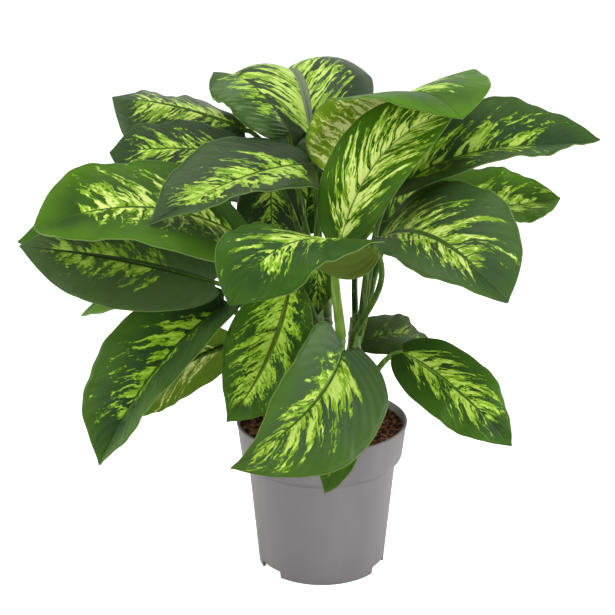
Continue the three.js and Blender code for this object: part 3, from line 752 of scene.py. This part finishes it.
def feathering():
    group = bpy.data.node_groups.new("leaf_feathering", "ShaderNodeTree")
    for name, usual in feather_inputs.items():
        socket = group.interface.new_socket(name, in_out="INPUT", socket_type="NodeSocketFloat")
        socket.default_value = usual
    for name in feather_outputs:
        group.interface.new_socket(name, in_out="OUTPUT", socket_type="NodeSocketFloat")
    given = group.nodes.new("NodeGroupInput").outputs[:len(feather_inputs)]
    seed, fill, left, right, flames, first_row, last_row, rib_share, left_sweep, right_sweep = given
    blade_map = place_node(group, "UVMap", uv_map="UVMap").outputs[0]
    place = place_node(group, "SeparateXYZ", {"Vector": blade_map})
    across = reckon(group, "MULTIPLY_ADD", place.outputs["X"], 2, -1)
    row = place.outputs["Y"]
    reach = reckon(group, "ABSOLUTE", across)
    on_right = reckon(group, "GREATER_THAN", across, 0)
    half = reckon(group, "MULTIPLY_ADD", on_right, 7.3, seed)

    def by_half(left_value, right_value):
        difference = reckon(group, "SUBTRACT", right_value, left_value)
        return reckon(group, "MULTIPLY_ADD", on_right, difference, left_value)

    limit = by_half(left, right)
    sweep = by_half(left_sweep, right_sweep)
    bow = reckon(group, "MULTIPLY", reckon(group, "POWER", reach, vein_bow), sweep)
    swept = reckon(group, "SUBTRACT", row, bow)

    def vein_noise(across_scale, row_scale, detail, base=swept, aside=0.0):
        x = reckon(group, "MULTIPLY_ADD", reach, across_scale, aside)
        y = reckon(group, "MULTIPLY", base, row_scale)
        where = place_node(group, "CombineXYZ", {0: x, 1: y, 2: half}).outputs[0]
        inputs = {"Vector": where, "Scale": 1.0, "Detail": detail, "Roughness": 0.62}
        return place_node(group, "TexNoise", inputs).outputs[0]

    def share_of(value, amount):
        return reckon(group, "MULTIPLY", reckon(group, "SUBTRACT", value, 0.5), amount)

    wavy = reckon(group, "ADD", swept, share_of(vein_noise(5, 17, 2, aside=9), vein_wander))
    flame = vein_noise(1.9, flames, 3.0, wavy)
    streak = vein_noise(5.6, reckon(group, "MULTIPLY", flames, 2.4), 2.0, wavy, 21)
    fleck = vein_noise(17, 74, 2.0, wavy, 40)
    gap = vein_noise(2.4, reckon(group, "MULTIPLY", flames, 1.4), 2.0, wavy, 60)
    gap = ramp_up(group, gap, 0.50, 0.62)
    starting = ramp_up(group, reckon(group, "SUBTRACT", swept, first_row), -0.06, 0.10)
    ending = ramp_up(group, reckon(group, "SUBTRACT", last_row, swept), -0.06, 0.16)
    grown = reckon(group, "MULTIPLY", starting, ending)
    usual_length = reckon(group, "MULTIPLY_ADD", fill, 0.75, 0.24)
    length = reckon(group, "ADD", usual_length, share_of(flame, flame_weight))
    length = reckon(group, "MULTIPLY", reckon(group, "MULTIPLY", length, limit), grown)
    field = reckon(group, "SUBTRACT", length, reach)
    for marks, weight in ((streak, streak_weight), (fleck, fleck_weight)):
        field = reckon(group, "ADD", field, reckon(group, "MULTIPLY", grown, share_of(marks, weight)))
    gap_depth = reckon(group, "MULTIPLY_ADD", fill, -0.85, 1.00)
    field = reckon(group, "SUBTRACT", field, reckon(group, "MULTIPLY", gap, gap_depth))
    bare = reckon(group, "MULTIPLY", reckon(group, "SUBTRACT", 1, grown), bare_depth)
    field = reckon(group, "SUBTRACT", field, bare)
    rib_width = reckon(group, "MULTIPLY_ADD", row, rib_thinning, rib_at_base)
    rib_width = reckon(group, "MULTIPLY", rib_width, rib_share)
    beside = ramp_up(group, reckon(group, "SUBTRACT", reach, rib_width), -0.014, 0.006)
    rib = reckon(group, "SUBTRACT", 1, beside)
    off_rib = reckon(group, "SUBTRACT", 1, rib)
    vein = reckon(group, "SINE", reckon(group, "MULTIPLY", swept, 2 * math.pi * side_veins))
    tip_green = ramp_up(group, row, 0.80, 1.0)
    far_out, far_on = ramp_up(group, reach, 0.25, 0.95), ramp_up(group, row, -0.35, 0.75)
    greening = reckon(group, "MAXIMUM", tip_green, reckon(group, "MULTIPLY", far_out, far_on))
    fine_relief = reckon(group, "MULTIPLY", vein_noise(20, 60, 3), 0.5)
    results = (
        reckon(group, "MULTIPLY", ramp_up(group, field, -0.13, 0.02), off_rib),
        reckon(group, "MULTIPLY", ramp_up(group, field, -0.015, 0.035), off_rib),
        ramp_up(group, reckon(group, "ADD", field, share_of(streak, 1.4)), 0.08, 0.50),
        rib,
        ramp_up(group, reach, 0.975, 0.995),
        greening,
        reckon(group, "MULTIPLY_ADD", vein, 0.35, fine_relief),
    )
    given_out = group.nodes.new("NodeGroupOutput")
    for socket, result in zip(given_out.inputs, results):
        group.links.new(result, socket)
    return group


feather_group = feathering()

# A look's four tones are its deep green, the fresh green of its margin, its flames and their pale cores.
lime, cream = (0.295, 0.53, 0.022), (0.66, 0.75, 0.23)
edge_green = (0.11, 0.19, 0.04)
leaf_shine = (0.75, 0.95, 0.55, 1)
under_rough = 0.55
dark_tones = ((0.017, 0.044, 0.008), (0.042, 0.115, 0.006), lime, cream)
blue_tones = ((0.024, 0.050, 0.020), (0.042, 0.092, 0.018), lime, cream)
soft_tones = ((0.042, 0.078, 0.032), (0.052, 0.118, 0.012), lime, cream)
night_tones = ((0.015, 0.030, 0.013), (0.030, 0.062, 0.016), lime, cream)
# These are the usual greens with their lime and cream darkened: painted shade, for the left leaf that hangs
# under the bright one.
painted_shade_tones = ((0.040, 0.074, 0.022), (0.062, 0.110, 0.026), (0.20, 0.37, 0.020), (0.42, 0.50, 0.12))
fresh_tones = ((0.026, 0.076, 0.006), (0.075, 0.190, 0.004), lime, cream)
# The olive tones of the undersides are partly their own paler green and partly painted light that shines
# through the thin blade.
olive_tones = ((0.13, 0.22, 0.014), (0.09, 0.17, 0.010), (0.30, 0.44, 0.07), (0.50, 0.58, 0.20))
usual_look = dict(fill=0.5, reach=(0.7, 0.7), flames=18, rows=(0.05, 0.86), sweep=(0.28, 0.28),
                  tones=dark_tones, under_tones=olive_tones, creamy=0.4, margin=0.75,
                  rib=(0.040, 0.10, 0.010), rib_wide=1, gloss=0.14, rough=0.40, glow=0)
leaf_looks = {
    "leaf_front": dict(seed=1.3, fill=0.50, reach=(0.82, 0.60), flames=15, tones=soft_tones, creamy=0.5,
                       rows=(0.0, 0.90), rib_wide=1.3, petiole="painted_lit"),
    "leaf_pot_edge": dict(seed=2.1, fill=0.0, reach=(0.3, 0.4), tones=fresh_tones, margin=0.1),
    "leaf_left_inner": dict(seed=3.7, fill=0.60, reach=(0.85, 0.85), flames=20, rows=(-0.1, 0.88),
                            sweep=(0.08, 0.28), creamy=0.25, rib=(0.09, 0.15, 0.012), rib_wide=2.2),
    "leaf_center": dict(seed=4.4, fill=0.50, reach=(0.72, 0.72), flames=17, rows=(0.13, 0.82), margin=0.6,
                        creamy=0.6, tones=((0.017, 0.048, 0.010), (0.036, 0.100, 0.006), lime, cream),
                        # Its underside tones are a darker copy of the usual olive: painted shade on the
                        # basal lobe that hangs down under the blade.
                        under_tones=((0.100, 0.145, 0.022), (0.075, 0.12, 0.014), (0.18, 0.24, 0.04),
                                     (0.3, 0.36, 0.1))),
    "leaf_upper_left": dict(seed=5.2, fill=0.52, reach=(1.1, 0.62), flames=18, tones=night_tones,
                            gloss=0.35, sweep=(-0.05, 0.26)),
    "leaf_left_bright": dict(seed=6.1, fill=0.57, reach=(0.62, 0.78), flames=20, rows=(0.05, 0.80),
                             creamy=0.9, tones=((0.022, 0.062, 0.006), (0.066, 0.162, 0.004), lime, cream),
                             margin=0.6, sweep=(-0.08, 0.2)),
    # The dark left leaf's tones and rib are painted darker, as the shade of the bright leaf above it.
    "leaf_left_dark": dict(seed=7.9, fill=0.33, reach=(0.75, 0.75), flames=15, rows=(0.18, 0.90),
                           sweep=(0.1, 0.2), tones=painted_shade_tones, margin=0.1, rib=(0.02, 0.04, 0.010),
                           rib_wide=2),
    "leaf_left_hidden": dict(seed=8.6),
    "leaf_left_low": dict(seed=9.4, fill=0.0, tones=fresh_tones, margin=1.0),
    "leaf_low_left": dict(seed=10.9, fill=0.25, reach=(0.4, 0.9), flames=21, rows=(0.05, 0.78),
                          sweep=(0.2, 0.2), creamy=0.2, margin=0.65, rib_wide=1.3,
                          tones=((0.012, 0.034, 0.012), (0.045, 0.110, 0.006), (0.29, 0.53, 0.015), cream)),
    # This underside's flames are painted brighter still, as light shining through the blade.
    "leaf_low_left_under": dict(seed=11.8, fill=0.42, flames=24, creamy=1.0, reach=(1.1, 1.1),
                                under_tones=((0.12, 0.21, 0.012), (0.13, 0.25, 0.014), (0.50, 0.62, 0.10),
                                             (0.75, 0.80, 0.32))),
    "leaf_top_left": dict(seed=12.5, fill=0.50, reach=(0.6, 0.85), flames=20, creamy=0.6, gloss=0.45,
                          tones=night_tones),
    "leaf_upper_left_dark": dict(seed=13.3, fill=0.42, tones=night_tones),
    "leaf_top": dict(seed=14.9, fill=0.42, reach=(1.15, 0.95), flames=26, rows=(-0.1, 0.95), creamy=0.5,
                     tones=night_tones, gloss=0.35, rib=(0.20, 0.24, 0.15), rib_wide=2.2),
    "leaf_top_side": dict(seed=15.7, fill=0.24, margin=0.5, creamy=0.2, gloss=0.6, rough=0.32),
    "leaf_arching": dict(seed=16.6, fill=0.52, reach=(1.6, 1.6), flames=13, rows=(-0.4, 0.8),
                         tones=fresh_tones, margin=0.6, rib_wide=1.6,
                         upper=dict(fill=0.4, reach=(0.8, 0.15), rows=(0.1, 0.8)),
                         # The arching leaf's underside tones are painted brighter still, as light shining
                         # through the blade.
                         under_tones=((0.17, 0.29, 0.008), (0.13, 0.25, 0.007), (0.45, 0.60, 0.05),
                                      (0.85, 0.86, 0.42)),
                         under=dict(fill=0.41, flames=34, creamy=0.7, sweep=(0.12, 0.12), glow=0.15)),
    "leaf_right_upright": dict(seed=17.9, fill=0.48, reach=(1.1, 1.05), flames=20, rows=(-0.10, 0.95),
                               creamy=0.9, margin=0.6, petiole="painted_lit",
                               tones=((0.022, 0.060, 0.006), (0.055, 0.150, 0.004), lime, cream)),
    "leaf_right_top": dict(seed=18.8, fill=0.48, reach=(0.75, 0.8), rows=(0.05, 0.72), tones=blue_tones,
                           sweep=(0.28, 0.0)),
    "leaf_right_mid": dict(seed=19.1, fill=0.38, reach=(0.85, 0.7), flames=12, margin=0.9, creamy=0.7,
                           tones=((0.030, 0.062, 0.012), (0.060, 0.150, 0.006), lime, cream)),
    "leaf_right_big": dict(seed=20.6, fill=0.61, reach=(0.68, 0.66), flames=22, rows=(-0.12, 0.80),
                           tones=blue_tones, creamy=0.8, gloss=0.30, rib_wide=1.8),
    "leaf_right_low": dict(seed=21.3, fill=0.56, reach=(0.78, 0.66), flames=16, rows=(-0.04, 0.80),
                           rib_wide=1.7, petiole="painted_lit"),
    "leaf_right_small": dict(seed=22.7, fill=0.0, creamy=0.1,
                             tones=((0.042, 0.066, 0.024), (0.060, 0.10, 0.022), (0.17, 0.27, 0.04),
                                    cream)),
    "leaf_hanging": dict(seed=23.5, fill=0.55, flames=14),
    # The inner leaf takes the darkest tones as painted shade, deep inside the plant.
    "leaf_inner": dict(seed=24.9, tones=night_tones, fill=0.35),
    "leaf_rear_low_left": dict(seed=26.1, tones=fresh_tones, margin=1.0),
}


def leaf_skins(name):
    leaf_look = {**usual_look, "seed": 30 + 1.7 * len(bpy.data.materials), **leaf_looks.get(name, {})}
    skins = []
    for side in ("upper", "under"):
        look = {**leaf_look, **leaf_look.get(side, {})}
        tones = look["tones"] if side == "upper" else look["under_tones"]
        deep, fresh, lime_tone, cream_tone = tones
        skin, tree, shader = new_finish(name + "_" + side, Specular_IOR_Level=look["gloss"],
                                        Specular_Tint=leaf_shine)
        pattern = tree.nodes.new("ShaderNodeGroup")
        pattern.node_tree = feather_group
        given = (look["seed"], look["fill"], *look["reach"], look["flames"], *look["rows"],
                 look["rib_wide"], *look["sweep"])
        for socket, value in zip(pattern.inputs, given):
            socket.default_value = value
        halo, pale, core, rib, edge, near_margin, height = pattern.outputs[:7]
        mottle = ramp_up(tree, surface_noise(tree, 26, 3), 0.3, 0.7)
        lime_rim = tuple(0.25 * dark + 0.55 * light for dark, light in zip(fresh, lime_tone))
        halo_tone = tuple(0.7 * dark + 0.2 * light for dark, light in zip(fresh, lime_tone))
        greening = reckon(tree, "MULTIPLY", mottle, 0.30)
        greening = reckon(tree, "MULTIPLY_ADD", near_margin, look["margin"], greening)
        tone = blend_colours(tree, reckon(tree, "MINIMUM", greening, 1), deep, fresh)
        tone = blend_colours(tree, reckon(tree, "MULTIPLY", halo, 0.40), tone, halo_tone)
        tone = blend_colours(tree, pale, tone, blend_colours(tree, core, lime_rim, lime_tone))
        bright = reckon(tree, "MULTIPLY", reckon(tree, "POWER", core, 2), pale)
        bright = reckon(tree, "MULTIPLY", bright, look["creamy"])
        tone = blend_colours(tree, bright, tone, cream_tone)
        tone = blend_colours(tree, rib, tone, look["rib"] if side == "upper" else halo_tone)
        tone = blend_colours(tree, edge, tone, edge_green)
        tree.links.new(tone, shader.inputs["Base Color"])
        rough = look["rough"] if side == "upper" else under_rough
        tree.links.new(reckon(tree, "MULTIPLY_ADD", mottle, 0.10, rough), shader.inputs["Roughness"])
        relief(tree, shader, height, 0.55, 0.0007)
        # Light that comes through a thin blade from behind shows as a faint glow of its own colours.
        if look["glow"]:
            tree.links.new(tone, shader.inputs["Emission Color"])
            shader.inputs["Emission Strength"].default_value = look["glow"]
        skins.append(skin)
    return skins


def petiole_finish(name, dark, green, pale):
    skin, tree, shader = new_finish(name, Specular_IOR_Level=0.2, Specular_Tint=leaf_shine, Roughness=0.42)
    fibres = surface_noise(tree, 240, 3, stretch=(1, 1, 0.12))
    tone = blend_colours(tree, ramp_up(tree, surface_noise(tree, 30, 2), 0.3, 0.7), dark, green)
    tone = blend_colours(tree, ramp_up(tree, fibres, 0.50, 0.70), tone, pale)
    tree.links.new(tone, shader.inputs["Base Color"])
    relief(tree, shader, fibres, 0.3, 0.0003)
    return skin


# The petioles are all one green. The first set of tones paints it lit, for the petioles that show at the
# front of the plant, and the second paints it in shade, for those inside.
petiole_light_and_shade_tones = {
    "painted_lit": ((0.10, 0.19, 0.020), (0.17, 0.30, 0.035), (0.26, 0.40, 0.085)),
    "grown": ((0.022, 0.052, 0.006), (0.050, 0.105, 0.008), (0.11, 0.19, 0.020)),
}
petiole_skins = {painted_lighting: petiole_finish(painted_lighting + "_petiole", *tones) for painted_lighting, tones in petiole_light_and_shade_tones.items()}

under_material, petiole_material = 1, 2
for leaf_name, shape in leaf_shapes.items():
    leaf, blade = grow_leaf(leaf_name, shape)
    skins = leaf_skins(leaf_name)
    # A petiole takes the painted shade tones unless its look asks for the painted lit ones.
    skins.append(petiole_skins[leaf_looks.get(leaf_name, {}).get("petiole", "grown")])
    for skin in skins:
        leaf.data.materials.append(skin)
    apply_modifier(leaf, "SOLIDIFY", thickness=blade_thickness, offset=0, material_offset=under_material,
                   material_offset_rim=under_material)
    bpy.ops.object.shade_smooth()
    stalk = grow_petiole(leaf_name, shape, blade)
    for skin in skins:
        stalk.data.materials.append(skin)
    for face in stalk.data.polygons:
        face.material_index = petiole_material
    bpy.ops.object.select_all(action="DESELECT")
    stalk.select_set(True)
    leaf.select_set(True)
    bpy.context.view_layer.objects.active = leaf
    bpy.ops.object.join()
    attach(leaf, "root")
    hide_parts(leaf_name)
